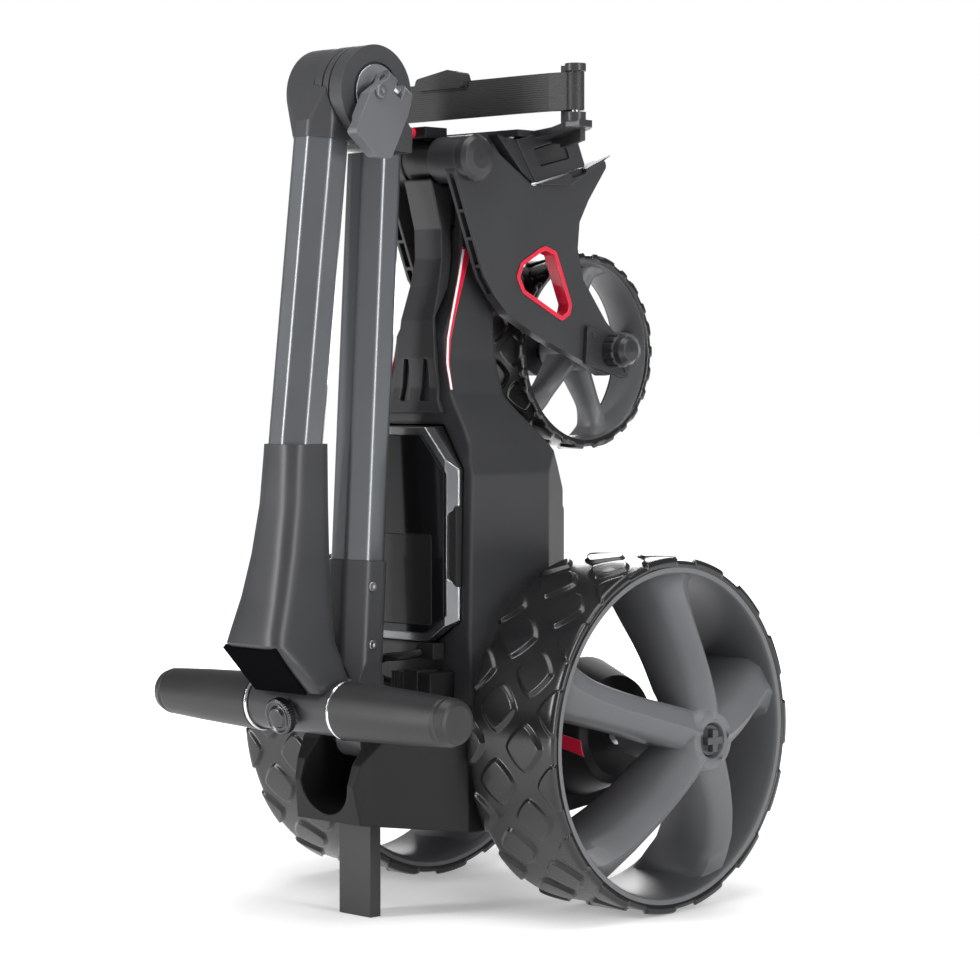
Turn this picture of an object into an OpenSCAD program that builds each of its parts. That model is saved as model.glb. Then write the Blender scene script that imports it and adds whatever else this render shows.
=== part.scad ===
// Compact electric golf trolley, folded and standing on its drive wheels and foot.
// Millimetres. +X runs along the rear axle to the right-hand wheel, -Y points to the handle side
// and +Z is up. The origin is on the ground below the middle of the folded trolley.

/* [Drive wheels] */
// Diameter of the drive wheels over the tread
wheel_d = 260; // [256:1:262]
// Width of a drive wheel tyre
wheel_w = 84; // [76:1:88]
// Distance from the centre plane to the outer rim edge
rim_edge_x = 163; // [161:1:166]
// Distance from the centre plane to the tip of the hub
hub_tip_x = 202; // [196:1:206]
// Number of spokes
spokes = 5; // [3:1:7]

/* [Front wheel] */
// Diameter of the front wheel over the tread
front_d = 152; // [144:1:153]
// Width of the front wheel tyre
front_w = 37; // [32:1:40]

/* [Handle] */
// Length of the cross bar over the end caps
bar_len = 308; // [280:2:330]
// Width across the handle tubes
tube_w = 38; // [36:1:39]
// Radius of the folding joint between the two tubes
fold_r = 34; // [32:1:35]

/* [Body] */
// Half-width of the body beside the battery
body_hw = 67; // [65:1:68]
// Wall thickness of the body shell
wall = 3.5; // [3:0.5:4.5]
// Half-width of the battery case
battery_hw = 58; // [54:1:58]

/* [Bag support] */
// Half-length of the bag strap between its end pins
strap_hx = 126; // [115:1:128]

/* [Hidden] */
$fn = 64;

// Distance from the rear axle forward to the origin, so that the origin is central
origin_y = -63.45;
wheel_r = wheel_d / 2;
front_r = front_d / 2;
// Height of the rear axle in the drawings, and the lift that brings the treads onto the ground
axle_z = 128;
lift = wheel_r - axle_z;
// Inner face of a drive wheel
wheel_in_x = rim_edge_x - wheel_w;

// Side-view places, as [y from the rear axle, z in the drawings]
fork_pivot = [-88, 547];
front_hub = [63.7, 408];
fold_pivot = [-169, 590];
handle_pivot = [-158, 126];
bar_axis = [-211, 154];
lower_tube_top = [-144, 548];
lower_tube_foot = [-161, 256];
lever_pivot = [-160.6, 592.2];
// Distance of the lever's pin from the middle, and its lean
lever_x = 37.5;
lever_turn = -123.4;
button_place = [0, 566.7];
upper_tube_top = [-196, 556];
upper_tube_foot = [-221.9, 330];

// Moves a sub-part drawn from the rear axle into the trolley's own frame
module placed() { translate([0, -origin_y, lift]) children(); }

// Both sides of a shape drawn on the +X side
module both_sides() {
  children();
  mirror([1, 0, 0]) children();
}

// Side-view outline with its thickness along X, from x0 to x1
module side_plate(x0, x1) {
  translate([x0, 0, 0]) rotate([90, 0, 90]) linear_extrude(x1 - x0) children();
}

// Outline with every corner rounded, inner and outer ones
module softened(r) { offset(r = r) offset(r = -2 * r) offset(r = r) children(); }

// Front-view outline (x, z) with its thickness along Y, from y0 to y1
module front_plate(y0, y1) {
  translate([0, y1, 0]) rotate([90, 0, 0]) linear_extrude(y1 - y0) children();
}

// Round bar along X at side-view place p
module rod_x(p, r, x0, x1) {
  translate([x0, p[0], p[1]]) rotate([0, 90, 0]) cylinder(r = r, h = x1 - x0);
}

// Turned shape about an X axis through side-view place p; its profile is [radius, x]
module turned_x(p) {
  translate([0, p[0], p[1]]) rotate([0, 90, 0]) rotate_extrude() children();
}

// Straight bar of any section along the line between side-view places a and b
module bar_between(a, b) {
  run = norm(b - a);
  translate([0, a[0], a[1]]) rotate([-atan2(b[0] - a[0], b[1] - a[1]), 0, 0])
    linear_extrude(run) children();
}

// Point at part f of the way from a to b
function between(a, b, f) = a + (b - a) * f;

// ---------------------------------------------------------------- body

// Half-widths of the body at each height, from the axle up to the neck
body_front = [[72, 120], [70, 170], [body_hw, 200], [body_hw, 318], [60, 340], [45, 360], [33, 376],
  [27, 400], [24, 430], [21, 470], [19, 534]];
// Side view of the body: front edge upward, then the back edge downward
body_side = [[-116, 120], [-114, 190], [-111, 324], [-104, 350], [-99, 380], [-98, 418], [-85, 444],
  [-76, 480], [-74, 534], [-62, 534], [-50, 470], [-45, 443], [-47, 418], [-45, 372], [-28, 344],
  [-12, 322], [2, 300], [2, 120]];

module body_solid(inset) {
  intersection() {
    front_plate(-200, 100) offset(delta = -inset)
      polygon(concat(body_front, [for (i = [len(body_front) - 1:-1:0]) [-body_front[i][0], body_front[i][1]]]));
    side_plate(-100, 100) offset(delta = -inset) polygon(body_side);
    // Plan view: softened front corners and bevelled back corners
    linear_extrude(600) offset(delta = -inset) offset(r = 9) offset(delta = -9)
      polygon([[-body_hw - 6, -130], [body_hw + 6, -130], [body_hw + 6, -48], [body_hw, -31],
        [51, 3], [-51, 3], [-body_hw, -31], [-body_hw - 6, -48]]);
  }
}

// Space that holds the battery, open to the handle side
module battery_bay(extra) {
  front_plate(-140, -30 + extra) offset(delta = extra) polygon(battery_outline(battery_hw));
}

// Eight-sided outline of the battery, with cut corners at the top and bottom
function battery_outline(hw) = [[-hw + 26, 195], [hw - 26, 195], [hw, 212], [hw, 322], [hw - 28, 353],
  [-hw + 28, 353], [-hw, 322], [-hw, 212]];

module chassis_shell() {
  color([0.25, 0.26, 0.27]) placed() difference() {
    body_solid(0);
    difference() {
      body_solid(wall);
      // Floor of the battery bay and a wall around it
      front_plate(-140, -26) offset(delta = 3.6) polygon(battery_outline(battery_hw));
    }
    battery_bay(0.6);
    // Open underside and back, closed by the axle housing and the rear cover
    translate([-46, -20, 180]) cube([92, 60, 112]);
    translate([-80, -150, 118]) cube([160, 200, 30.4]);
    // Room for the motors and the gearboxes
    translate([-62, -40, 140]) cube([124, 60, 26]);
    both_sides() rod_x([0, axle_z], 46.6, 58, 80);
    // Open top of the neck
    translate([-12.4, -90, 498]) cube([24.8, 60, 60]);
  }
}

module rear_cover() {
  color([0.16, 0.16, 0.17]) placed() difference() {
    union() {
      front_plate(2.1, 5.5) offset(r = 6) translate([-42, 184]) square([84, 104]);
      // Rim that locates in the shell
      front_plate(-4, 2.2) difference() {
        translate([-45.4, 180.6]) square([90.8, 110.8]);
        translate([-42, 184]) square([84, 104]);
      }
    }
    for (x = [-38, 38], z = [190, 282]) translate([x, 8, z]) rotate([90, 0, 0]) cylinder(r = 1.7, h = 16);
  }
}

// Front arm of the neck: a curved strip with a slot each side above the battery
module neck_spine() {
  edge = [[-106, 362], [-102.5, 380], [-103, 402], [-101.5, 430], [-94, 455], [-90, 475], [-90.5, 497],
    [-97, 520], [-101, 533], [-80, 533], [-79, 520], [-80.5, 497], [-80, 475], [-84, 455], [-99, 432],
    [-99.2, 418], [-99.3, 381], [-102.2, 362]];
  half = [[30, 362], [24, 372], [20, 400], [17, 428], [15, 455], [14, 475], [14, 497], [14, 533]];
  color([0.27, 0.28, 0.29]) placed() difference() {
    intersection() {
      side_plate(-60, 60) polygon(edge);
      front_plate(-140, -60) polygon(concat(half, [for (i = [len(half) - 1:-1:0]) [-half[i][0], half[i][1]]]));
    }
    for (s = [-1, 1]) front_plate(-120, -90) offset(r = 1.5)
      polygon([[s * 6, 372], [s * 14, 372], [s * 11, 400], [s * 9, 400]]);
    rod_x(fork_pivot, 19, -40, 40);
  }
}

// Dark inner frame of the neck, which ends in the middle knuckle of the fork hinge
module neck_core() {
  color([0.09, 0.09, 0.1]) placed() difference() {
    union() {
      rod_x(fork_pivot, 15.5, -13.5, 13.5);
      side_plate(-12, 12) polygon([[-78.2, 500], [-78.2, 536], [-92, 536], [-92, 548], [-76, 545], [-62, 530],
        [-60, 500]]);
      side_plate(-12, 12) polygon([[-71, 440], [-71, 501], [-62, 501], [-62, 440]]);
    }
    rod_x(fork_pivot, 6.05, -20, 20);
  }
}

// Red inlays with a pale edge along the front edge of each side panel
module neck_stripes() {
  color([0.78, 0.1, 0.15]) placed() both_sides() intersection() {
    side_plate(19, 40) polygon([[-75, 484], [-81, 462], [-88.5, 440], [-96.5, 416], [-99.4, 396], [-99.6, 378],
      [-97.4, 382], [-96, 398], [-92.4, 416], [-83.5, 440], [-74.5, 462], [-67.5, 480]]);
    difference() {
      front_plate(-120, -60) polygon([[0, 360], [45, 360], [34.2, 376], [28.2, 400], [25.2, 430],
        [22.2, 470], [19.4, 538], [0, 538]]);
      front_plate(-120, -60) polygon([[0, 350], [45.2, 360.2], [33.2, 376], [27.2, 400], [24.2, 430],
        [21.2, 470], [18, 538], [0, 538]]);
    }
  }
}

// ---------------------------------------------------------------- axle housing

housing_side = [[-190, 69], [-195, 97], [-190, 112], [-178, 126], [-122, 150], [-116, 148.2], [2.2, 148.2],
  [2.2, 172], [24, 170], [44, 150], [50, 118], [42, 86], [20, 70], [-60, 61], [-118, 61]];

module axle_housing() {
  color([0.13, 0.13, 0.14]) placed() difference() {
    intersection() {
      side_plate(-80, 80) polygon(housing_side);
      // Plan view: a broad box behind a nose that narrows to the tube rest
      linear_extrude(300) polygon([[-30, -196], [30, -196], [38, -182], [74, -122], [74, 50], [-74, 50],
        [-74, -122], [-38, -182]]);
    }
    // Hollow for the motors
    intersection() {
      side_plate(-70, 70) offset(delta = -4) polygon(housing_side);
      translate([-80, -112, 66]) cube([160, 170, 110]);
    }
    // Open top under the body
    translate([-62, -108, 138]) cube([124, 120, 26]);
    // U-shaped rest that takes the lower tube when the handle is up
    front_plate(-210, -118) union() {
      translate([0, 99]) circle(r = 25);
      translate([-25, 99]) square([50, 80]);
    }
    // Socket of the foot, bore for the handle pivot and for the two gearboxes
    translate([-16.6, -164.6, 50]) cube([33.2, 10.2, 21.1]);
    rod_x(handle_pivot, 5, -40, 40);
    rod_x([0, axle_z], 46.3, 60, 80);
    rod_x([0, axle_z], 46.3, -80, -60);
  }
}

// Pin across the two cheeks of the tube rest
module handle_pivot_pin() {
  color([0.7, 0.7, 0.72]) placed() rod_x(handle_pivot, 5, -39.5, 39.5);
}

module axle_stripes() {
  color([0.78, 0.1, 0.15]) placed() both_sides() difference() {
    intersection() {
      turned_x([0, axle_z]) polygon([[40, 76], [53, 76], [40.8, 108], [39, 108]]);
      side_plate(70, 115) polygon([[-60, 138], [-60, 128], [-18, 98], [-8, 90], [-14, 104]]);
    }
    turned_x([0, axle_z]) polygon([[0, 70], [52.2, 74], [40, 106], [40, 120], [0, 120]]);
  }
}

// All four red inlays of the body
module red_lines() {
  neck_stripes();
  axle_stripes();
}

module foot() {
  color([0.3, 0.31, 0.32]) placed() translate([-16.5, -164.5, -lift]) cube([33, 10, 71 + lift]);
}

// Motor with its end bell, lying on the axle line
module motor_right() {
  color([0.5, 0.5, 0.52]) placed() difference() {
    union() {
      rod_x([0, axle_z], 33, 4, 58);
      rod_x([0, axle_z], 28, 1, 4.4);
      rod_x([0, axle_z], 12, 57, 60.2);
    }
    rod_x([0, axle_z], 4.05, 0, 66);
  }
}
module motor_left() { mirror([1, 0, 0]) motor_right(); }

// Gearbox casing with a tapered nose that reaches into the wheel
module gearbox_right() {
  color([0.1, 0.1, 0.11]) placed() difference() {
    turned_x([0, axle_z]) polygon([[0, 60.2], [46, 60.2], [46, 74], [52, 74], [40, 106], [34, 109], [0, 109]]);
    // Gear space
    rod_x([0, axle_z], 30, 64, 98);
    rod_x([0, axle_z], 11, 98, 110);
    rod_x([0, axle_z], 4.05, 59, 66);
  }
}
module gearbox_left() { mirror([1, 0, 0]) gearbox_right(); }

module axle_bearings() {
  color([0.75, 0.76, 0.78]) placed() both_sides() difference() {
    rod_x([0, axle_z], 11, 100, 108);
    rod_x([0, axle_z], 6.03, 99, 109);
  }
}

// ---------------------------------------------------------------- drive wheels

module drive_wheel_rim() {
  barrel_r = wheel_r - 7;
  color([0.29, 0.3, 0.31]) difference() {
    union() {
      // Barrel with a bead at each edge
      rotate_extrude() polygon([[barrel_r - 5, wheel_in_x + 1], [barrel_r, wheel_in_x + 1],
        [barrel_r, rim_edge_x], [barrel_r - 4, rim_edge_x], [barrel_r - 5, rim_edge_x - 8]]);
      // Hub
      rotate_extrude() polygon([[0, 122], [17, 122], [29, 156], [29, hub_tip_x - 8],
        [19, hub_tip_x - 1], [0, hub_tip_x - 1]]);
      // Spokes rise outward from the barrel to the hub
      for (i = [0:spokes - 1]) rotate([0, 0, i * 360 / spokes + 28]) rotate([90, 0, 0]) translate([0, 0, -15])
        linear_extrude(30) polygon([[barrel_r - 3, 94], [barrel_r - 3, 152], [96, 164], [60, 182],
          [22.5, 193], [22.5, 164], [60, 152], [96, 126]]);
    }
    // Shaft bore, button recess
    translate([0, 0, 110]) cylinder(r = 6.2, h = 74);
    translate([0, 0, 183]) cylinder(r = 11.3, h = 30);
  }
}
module rim_right() { placed() translate([0, 0, axle_z]) rotate([0, 90, 0]) drive_wheel_rim(); }
module rim_left() { mirror([1, 0, 0]) rim_right(); }

module tyre_right() {
  color([0.06, 0.06, 0.06]) placed() turned_x([0, axle_z]) polygon([
    [wheel_r - 7, wheel_in_x + 1], [wheel_r - 4, wheel_in_x], [wheel_r - 1, wheel_in_x + 4],
    [wheel_r, wheel_in_x + 10], [wheel_r, rim_edge_x - 10], [wheel_r - 0.6, rim_edge_x - 4],
    [wheel_r - 2.5, rim_edge_x], [wheel_r - 7, rim_edge_x]]);
}
module tyre_left() { mirror([1, 0, 0]) tyre_right(); }

module drive_shaft_right() {
  color([0.7, 0.7, 0.72]) placed() difference() {
    union() {
      rod_x([0, axle_z], 6, 66, 182);
      // Output plate of the gears
      rod_x([0, axle_z], 26, 90, 96);
      rod_x([0, axle_z], 9, 112, 116);
    }
    // Groove that the hub button locks into
    turned_x([0, axle_z]) polygon([[5, 172], [8, 172], [8, 175], [5, 175]]);
  }
}
module drive_shaft_left() { mirror([1, 0, 0]) drive_shaft_right(); }

// Quick-release button with a raised cross, sunk in the hub
module hub_button_right() {
  color([0.24, 0.25, 0.26]) placed() translate([0, 0, axle_z]) rotate([0, 90, 0]) union() {
    translate([0, 0, 189]) cylinder(r = 11, h = 8);
    for (a = [0, 90]) rotate([0, 0, a]) translate([-8, -2.5, 196]) cube([16, 5, hub_tip_x - 196]);
  }
}
module hub_button_left() { mirror([1, 0, 0]) hub_button_right(); }

// ---------------------------------------------------------------- battery

module battery_case() {
  color([0.04, 0.04, 0.05]) placed() difference() {
    union() {
      front_plate(-112, -31) offset(delta = -0.5) polygon(battery_outline(battery_hw));
      front_plate(-124, -111) offset(delta = -7.4) polygon(battery_outline(battery_hw));
    }
    // Cells leave a thin case; grip recesses at both sides
    front_plate(-104, -38) offset(delta = -4) polygon(battery_outline(battery_hw));
    both_sides() front_plate(-130, -92) offset(r = 3) polygon([[battery_hw + 4, 236], [battery_hw - 4, 244],
      [battery_hw - 4, 288], [battery_hw + 4, 296]]);
    front_plate(-126, -122.5) offset(r = 2) translate([-36, 200 + 10]) square([72, 62]);
  }
}

// Bright bevelled frame around the black front of the battery
module battery_frame() {
  color([0.68, 0.69, 0.71]) placed() difference() {
    front_plate(-122, -112.2) offset(delta = -1.2) polygon(battery_outline(battery_hw));
    front_plate(-130, -100) offset(delta = -7.2) polygon(battery_outline(battery_hw));
    both_sides() front_plate(-130, -92) offset(r = 3) polygon([[battery_hw + 4, 236], [battery_hw - 4, 244],
      [battery_hw - 4, 288], [battery_hw + 4, 296]]);
    // Outer bevel
    both_sides() translate([battery_hw - 8, -122.5, 180]) rotate([0, 0, 50]) translate([0, -12, 0])
      cube([20, 12, 200]);
  }
}

module battery_grips() {
  color([0.05, 0.05, 0.05]) placed() both_sides() intersection() {
    front_plate(-118, -92.4) offset(r = 2.6) polygon([[battery_hw + 4, 236], [battery_hw - 4, 244],
      [battery_hw - 4, 288], [battery_hw + 4, 296]]);
    front_plate(-118, -92.4) translate([0, 200]) square([battery_hw - 0.6, 120]);
  }
}

module battery_label() {
  color([0.1, 0.1, 0.11]) placed() front_plate(-123.8, -122.5) offset(r = 1.6)
    translate([-36, 210]) square([72, 62]);
}

// ---------------------------------------------------------------- battery lead

// Route of the lead from the gland on the battery to the plug
lead_route = [[31, -120.5, 189.5], [24, -127, 187], [14, -133, 185], [4, -136, 184], [-6, -136, 180],
  [-12, -134, 174], [-8, -132, 168], [2, -130, 165], [12, -130, 165]];
lead_r = 3.2;

// Point of a smooth curve through the route, t counted in route steps
function curve_at(p, t) = let (
  i = min(floor(t), len(p) - 2), f = t - i,
  a = p[max(i - 1, 0)], b = p[i], c = p[i + 1], d = p[min(i + 2, len(p) - 1)])
  0.5 * (2 * b + (c - a) * f + (2 * a - 5 * b + 4 * c - d) * f * f + (3 * b - a - 3 * c + d) * f * f * f);
function unit(v) = v / norm(v);

module sweep(p, r, sides, steps) {
  count = (len(p) - 1) * steps;
  rings = [for (k = [0:count]) let (
    t = k / steps,
    here = curve_at(p, t),
    along = unit(curve_at(p, min(t + 0.01, len(p) - 1)) - curve_at(p, max(t - 0.01, 0))),
    u = unit(cross(along, [0, 0.6, 1])),
    v = cross(along, u))
    [for (j = [0:sides - 1]) here + r * (cos(j * 360 / sides) * u + sin(j * 360 / sides) * v)]];
  polyhedron(
    points = [for (ring = rings) each ring],
    faces = concat(
      [[for (j = [0:sides - 1]) j]],
      [for (k = [0:count - 1], j = [0:sides - 1])
        [k * sides + j, (k + 1) * sides + j, (k + 1) * sides + (j + 1) % sides, k * sides + (j + 1) % sides]],
      [[for (j = [sides - 1:-1:0]) count * sides + j]]));
}

module battery_lead() { color([0.07, 0.07, 0.07]) placed() sweep(lead_route, lead_r, 10, 5); }

// Strain relief under the battery, open where the lead enters
module lead_gland() {
  color([0.12, 0.12, 0.12]) placed() difference() {
    translate([24, -126, 184]) cube([18, 11, 11.4]);
    translate(lead_route[0]) rotate([0, 104.7, -137.1]) cylinder(r = lead_r + 0.2, h = 16);
  }
}

module lead_plug() {
  color([0.1, 0.1, 0.1]) placed() difference() {
    union() {
      translate([12, -139, 155]) cube([14, 18, 20]);
      translate([26, -140, 153.5]) cube([14, 20, 23]);
    }
    for (i = [0:3]) translate([13.5 + 3 * i, -140, 154]) cube([1.2, 1.6, 22]);
    // Contact openings
    for (z = [160, 170]) translate([34, -130, z]) rotate([0, 90, 0]) cylinder(r = 3, h = 8);
  }
}

module lead_socket() {
  color([0.15, 0.15, 0.16]) placed() difference() {
    translate([40.2, -139, 155]) cube([12, 24, 20]);
    for (z = [160, 170]) translate([38, -130, z]) rotate([0, 90, 0]) cylinder(r = 2.6, h = 8);
  }
}

// ---------------------------------------------------------------- handle, lower part

module tube_section() { offset(r = 6) circle(d = tube_w / cos(22.5) - 13, $fn = 8); }

module lower_tube() {
  color([0.38, 0.41, 0.43]) placed() difference() {
    bar_between(lower_tube_foot, lower_tube_top) rotate(22.5) tube_section();
    bar_between(between(lower_tube_foot, lower_tube_top, -0.1), between(lower_tube_foot, lower_tube_top, 1.1))
      circle(d = tube_w - 6);
    rod_x(fold_pivot, fold_r - 1, -40, 40);
  }
}

module lower_bracket() {
  color([0.12, 0.12, 0.13]) placed() difference() {
    union() {
      // Sleeve around the foot of the tube, tapering towards the pivot
      intersection() {
        bar_between(between(lower_tube_foot, lower_tube_top, -0.4), lower_tube_foot) rotate(22.5)
          offset(r = 1.6) tube_section();
        side_plate(-30, 30) polygon([[-190, 260], [-190, 200], [-181, 172], [-172, 158], [-150, 158],
          [-140, 200], [-130, 260]]);
        front_plate(-200, -120) polygon([[-24, 260], [-24, 205], [-15, 150], [15, 150], [24, 205], [24, 260]]);
      }
      // Lug on the pivot
      side_plate(-13, 13) polygon([[-176, 172], [-170, 126], [-158, 113], [-146, 126], [-148, 172]]);
      rod_x(handle_pivot, 13, -13, 13);
    }
    rod_x(handle_pivot, 5.05, -20, 20);
    bar_between(between(lower_tube_foot, lower_tube_top, -0.17), lower_tube_top) rotate(22.5)
      offset(delta = 0.1) tube_section();
    for (s = [-1, 1], z = [238, 196]) translate([s * 23, -166, z]) rotate([0, 90, 0])
      cylinder(r = 3.6, h = 5, center = true);
  }
}

module bracket_screws() {
  color([0.35, 0.35, 0.36]) placed() for (s = [-1, 1], z = [238, 196])
    translate([s * 20.5, -166, z]) rotate([0, s * 90, 0]) difference() {
      cylinder(r = 3.5, h = 1.2);
      translate([0, 0, 0.5]) cylinder(r = 1.5, h = 2, $fn = 6);
    }
}

// End of the lower tube: the right-hand half of the folding joint
module lower_knuckle() {
  color([0.17, 0.17, 0.18]) placed() difference() {
    union() {
      rod_x(fold_pivot, fold_r, 0.3, 29);
      intersection() {
        side_plate(-tube_w / 2, tube_w / 2) polygon([[-163, 552], [-124.6, 550], [-124, 566], [-135, 580],
          [-150, 590], [-169, 570]]);
        union() {
          difference() {
            translate([-30, -200, 540]) cube([60, 100, 80]);
            rod_x(fold_pivot, fold_r + 0.5, -30, 0.4);
          }
        }
      }
      bar_between(between(lower_tube_top, lower_tube_foot, 0.08), lower_tube_top) circle(d = tube_w - 6.2);
    }
    rod_x(fold_pivot, fold_r + 0.5, -30, 0.3);
    rod_x(fold_pivot, 8.05, -1, 40);
    // Recess for the cam lever's washer, ring grooves
    rod_x(fold_pivot, 22, 26, 32);
    turned_x(fold_pivot) polygon([[fold_r - 1.5, 8], [fold_r + 2, 8], [fold_r + 2, 9.5], [fold_r - 1.5, 9.5]]);
    turned_x(fold_pivot) polygon([[fold_r - 1.5, 15], [fold_r + 2, 15], [fold_r + 2, 16.5], [fold_r - 1.5, 16.5]]);
  }
}

module fold_bolt() {
  color([0.72, 0.72, 0.74]) placed() {
    difference() {
      union() {
        rod_x(fold_pivot, 8, -25.8, 25.8);
        rod_x(fold_pivot, 20, 26.1, 29.6);
        rod_x(fold_pivot, 8, 25, 27);
        rod_x(fold_pivot, 14, -30.5, -26);
      }
      rod_x(fold_pivot, 3, -40, -22);
    }
    // Eye and pin that the cam lever turns on
    lever_place() {
      translate([-8.2, -4, -4]) cube([8.2, 8, 8]);
      cylinder(r = 4, h = 8, center = true);
      cylinder(r = 3, h = 24, center = true);
    }
  }
}

// Round bar along Y through front-view place p, given as [x, z]
module rod_y(p, r, y0, y1) {
  translate([p[0], y1, p[1]]) rotate([90, 0, 0]) cylinder(r = r, h = y1 - y0);
}

// Frame of the cam lever: x out of the joint, y along the lever, z along its pin
module lever_place() {
  translate([lever_x, lever_pivot[0], lever_pivot[1]]) rotate([lever_turn, 0, 0]) children();
}

// Clamp lever, folded flat against the disc of the joint
module cam_lever() {
  color([0.3, 0.31, 0.32]) placed() lever_place() difference() {
    union() {
      side_plate(-2.5, 7.4) softened(4) polygon([[0, -13.4], [0, 13.4], [12, 16.5], [46.5, 20], [53.4, 8.4],
        [50.8, -18.5], [20, -22]]);
      cylinder(r = 7, h = 26.8, center = true);
    }
    // Slot for the eye, bore for the pin
    translate([-12, -9, -4.4]) cube([24, 15, 8.8]);
    cylinder(r = 3.05, h = 60, center = true);
    // Finger scoop under the free end
    translate([-9.5, 44, 0]) cylinder(r = 9, h = 60, center = true);
  }
}

// ---------------------------------------------------------------- handle, upper part

module upper_tube() {
  color([0.38, 0.41, 0.43]) placed() difference() {
    bar_between(upper_tube_foot, upper_tube_top) rotate(22.5) tube_section();
    bar_between(between(upper_tube_foot, upper_tube_top, -0.1), between(upper_tube_foot, upper_tube_top, 1.1))
      circle(d = tube_w - 6);
  }
}

module upper_knuckle() {
  color([0.17, 0.17, 0.18]) placed() difference() {
    union() {
      // Cap that bends from the tube into the left-hand half of the joint
      hull() {
        bar_between(upper_tube_top, between(upper_tube_top, upper_tube_foot, -0.05)) rotate(22.5)
          offset(r = 0.8, $fn = 24) tube_section();
        rod_x(fold_pivot, fold_r, -29, -12, $fn = 48);
        rod_x(fold_pivot, fold_r - 1.5, -29, 15, $fn = 48);
      }
      bar_between(between(upper_tube_top, upper_tube_foot, 0.08), between(upper_tube_top, upper_tube_foot, -0.04))
        circle(d = tube_w - 6.2);
    }
    rod_x(fold_pivot, fold_r + 0.5, -0.3, 40);
    // Room for the other tube's cap
    difference() {
      translate([-20, -164, 540]) cube([60, 60, 60]);
      rod_x(fold_pivot, fold_r, -29, -0.3);
    }
    rod_x(fold_pivot, 8.05, -40, 1);
    rod_x(fold_pivot, 14.2, -40, -25.8);
  }
}

housing_top = [-221.5, 341];

module handle_housing() {
  color([0.2, 0.2, 0.21]) placed() difference() {
    union() {
      // Grip body, flaring from the tube down to the display
      hull() {
        translate([0, housing_top[0], housing_top[1] - 8]) linear_extrude(8) offset(r = 10, $fn = 32) square([19, 21], center = true);
        translate([0, -235, 206]) linear_extrude(4) offset(r = 5, $fn = 24) square([46, 53], center = true);
      }
      hull() {
        translate([0, -235, 203]) linear_extrude(4) offset(r = 5, $fn = 24) square([46, 53], center = true);
        translate([0, -214, 166]) linear_extrude(4) offset(r = 4, $fn = 24) square([66, 26], center = true);
      }
    }
    // Seat on the collar
    rod_x(bar_axis, 19.03, -60, 60);
    // Socket for the tube
    bar_between(between(upper_tube_foot, upper_tube_top, -0.02), upper_tube_top) rotate(22.5)
      offset(delta = 0.1) tube_section();
    // Space for the electronics
    translate([-20, -254, 212]) cube([40, 40, 60]);
    // Seat of the display
    display_place() translate([-27.4, -22.4, -3]) cube([54.8, 44.8, 10]);
    // Room for the dial
    dial_place() cylinder(r = 15, h = 40);
  }
}

// Collar around the cross bar, with the dial's socket
module bar_collar() {
  color([0.2, 0.2, 0.21]) placed() difference() {
    rod_x(bar_axis, 19, -42, 42);
    rod_x(bar_axis, 11.05, -60, 60);
    dial_place() translate([0, 0, -7.8]) cylinder(r = 10.08, h = 40);
    bar_between(between(upper_tube_foot, upper_tube_top, -0.02), upper_tube_top) rotate(22.5)
      offset(delta = 0.1) tube_section();
  }
}

// Frame of the sloping display face: x across, y down the slope, z outward
module display_place() { translate([0, -250.3, 182]) rotate([133.2, 0, 0]) children(); }

module display_panel() {
  color([0.03, 0.03, 0.04]) placed() display_place() translate([-27, -22, -2.8]) cube([54, 44, 3.4]);
}

// Frame of the speed dial, z outward from the bar
module dial_place() {
  translate([0, bar_axis[0], bar_axis[1]]) rotate([102, 0, 0]) translate([0, 0, 19]) children();
}

module speed_dial() {
  color([0.75, 0.75, 0.77]) placed() dial_place() difference() {
    union() {
      translate([0, 0, 2.6]) cylinder(r = 13.5, h = 7);
      translate([0, 0, 9]) cylinder(r = 11, h = 2.4);
    }
    translate([0, 0, 2]) cylinder(r = 3.05, h = 5.5);
    for (i = [0:15]) rotate([0, 0, i * 22.5]) translate([14.4, 0, 0]) cylinder(r = 1.8, h = 12);
  }
}

// Stem that the dial turns on; pushing the dial slides it in
module dial_stem() {
  color([0.4, 0.4, 0.42]) placed() dial_place() {
    translate([0, 0, -5.4]) cylinder(r = 10, h = 7.6);
    translate([0, 0, 1]) cylinder(r = 3, h = 6.2);
  }
}

module cross_bar() {
  color([0.6, 0.6, 0.62]) placed() difference() {
    rod_x(bar_axis, 11, -bar_len / 2 + 4, bar_len / 2 - 4);
    rod_x(bar_axis, 8.5, -bar_len / 2, bar_len / 2);
  }
}

module grip_right() {
  end_x = bar_len / 2;
  color([0.07, 0.07, 0.07]) placed() difference() {
    turned_x(bar_axis) polygon([[11.02, 45.6], [21, 45.6], [20.5, 62], [18.8, 110], [17.2, end_x - 12],
      [16.6, end_x - 10], [16.6, end_x - 8], [17, end_x - 7], [15, end_x - 1], [12, end_x], [0, end_x],
      [0, end_x - 4], [11.02, end_x - 4]]);
  }
}
module grip_left() { mirror([1, 0, 0]) grip_right(); }

module grip_rings() {
  color([0.78, 0.78, 0.8]) placed() both_sides() turned_x(bar_axis)
    polygon([[11.02, 42.2], [20.5, 42.2], [21.2, 43.8], [20.5, 45.4], [11.02, 45.4]]);
}

// ---------------------------------------------------------------- fork and front wheel

// Side outline of a fork leg, from the hinge down to the wheel
fork_outline = [[-103, 538], [-72, 461], [-61, 447], [-47, 434], [-31, 426], [-9, 416], [18, 406], [40, 398],
  [58, 389], [70, 390], [84, 398], [82, 412], [60, 430], [34, 462], [28, 485], [30, 505], [40, 522], [60, 548],
  [58, 554], [-20, 529.5], [-70, 560], [-88, 564], [-102, 556]];
fork_hole = [[-8, 486], [4, 482], [21, 443], [19, 435], [10, 430], [-32, 450], [-39, 462], [-34, 473], [-14, 484]];

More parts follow.
